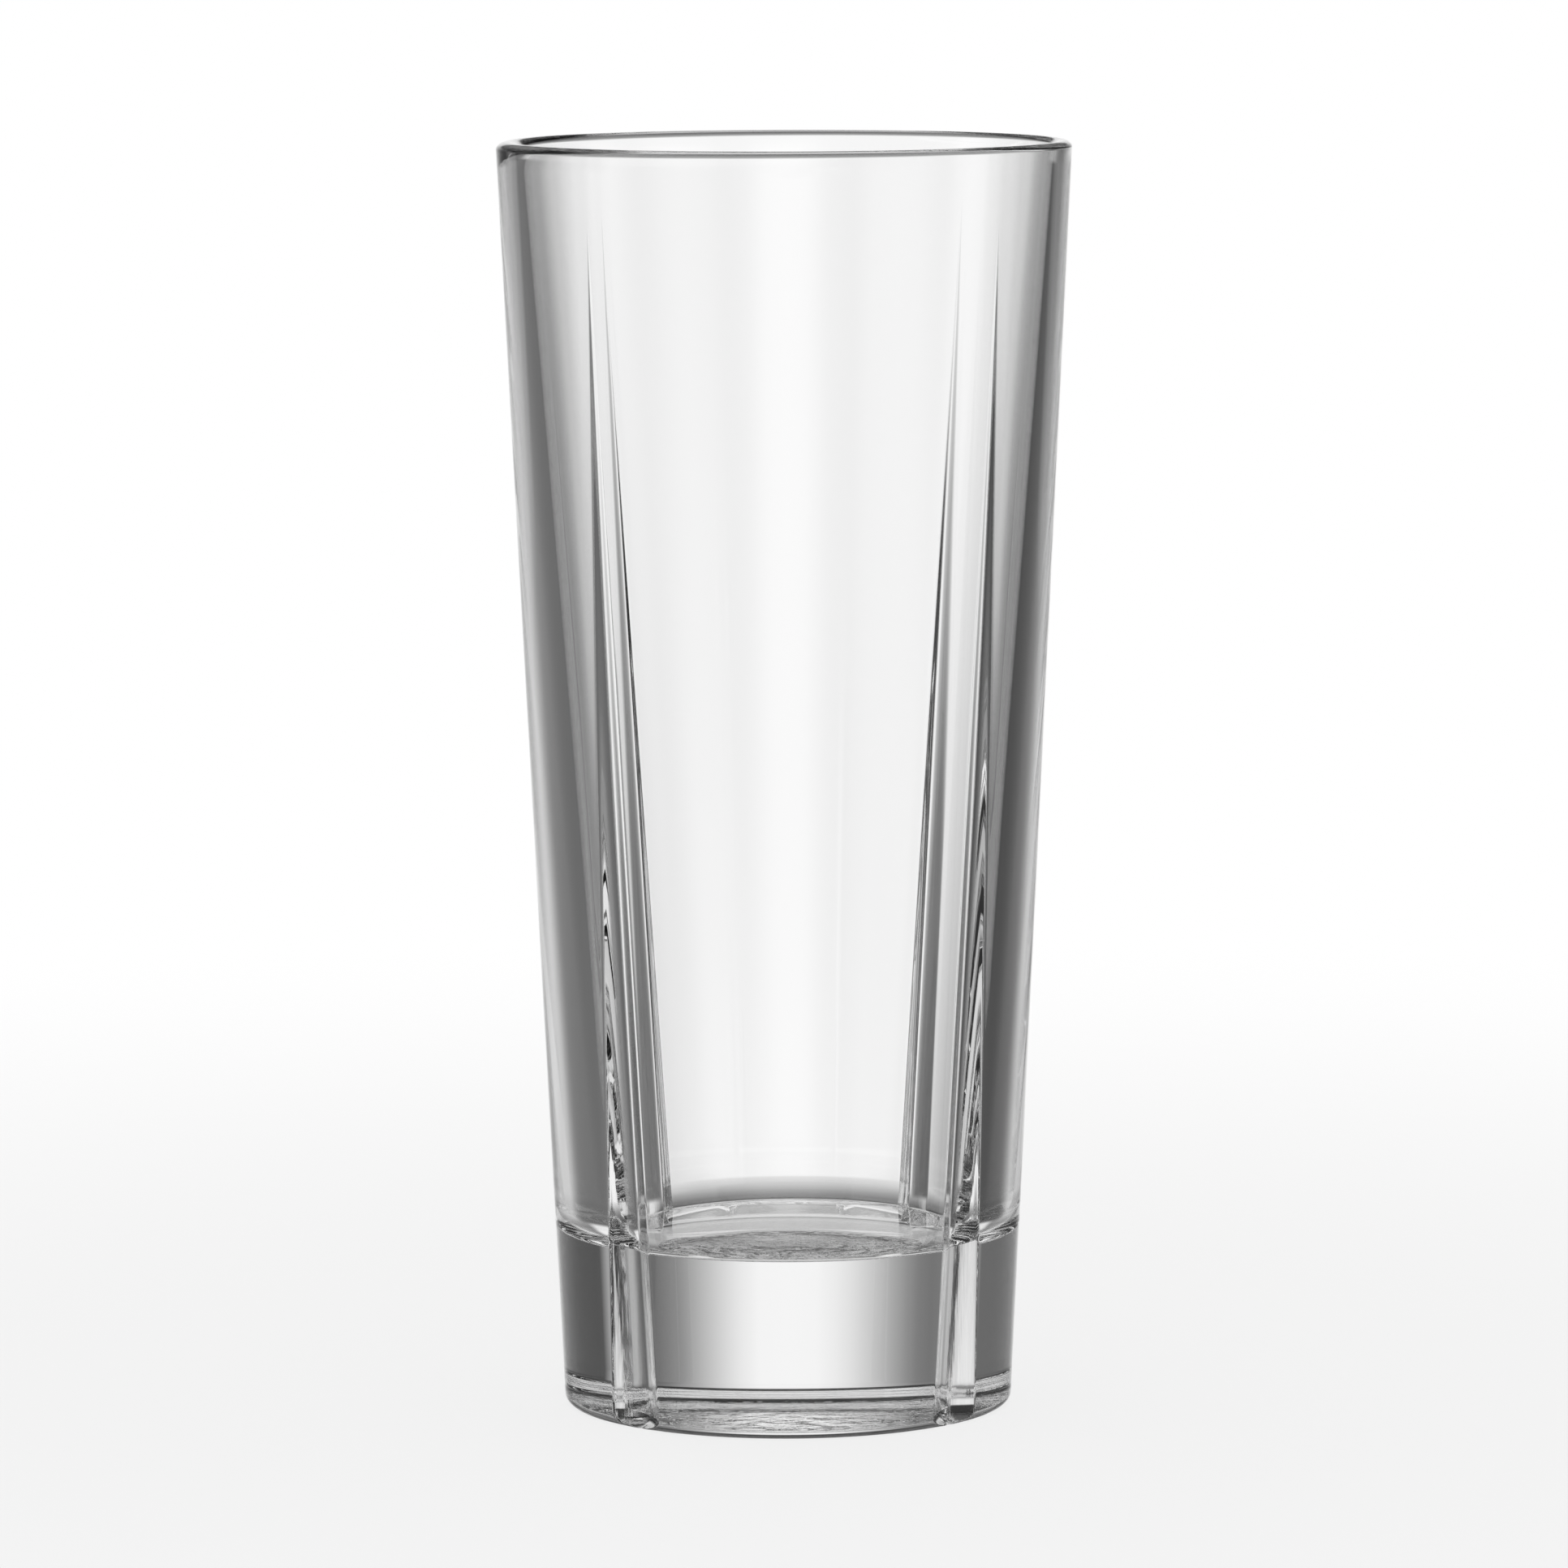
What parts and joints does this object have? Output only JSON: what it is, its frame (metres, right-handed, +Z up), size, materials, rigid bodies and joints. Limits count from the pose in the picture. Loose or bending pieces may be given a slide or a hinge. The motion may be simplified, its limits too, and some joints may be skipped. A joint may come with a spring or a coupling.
{
  "type": "highball glass",
  "caption": "Tall round glass tumbler with a heavy base, a tapered cavity and four slim flutes down its wall.",
  "frame": {"origin": "middle of the foot, in the plane of the table", "axes": "+Z up along the axis of the glass, with a wide panel facing each of -X, +X, -Y and +Y and a flute on each diagonal"},
  "size_m": [0.0677, 0.0678, 0.15],
  "materials": {
    "clear_glass": "fire-polished pressed soda-lime glass"
  },
  "bodies": {
    "root": {"tumbler": "clear_glass"}
  },
  "joints": []
}
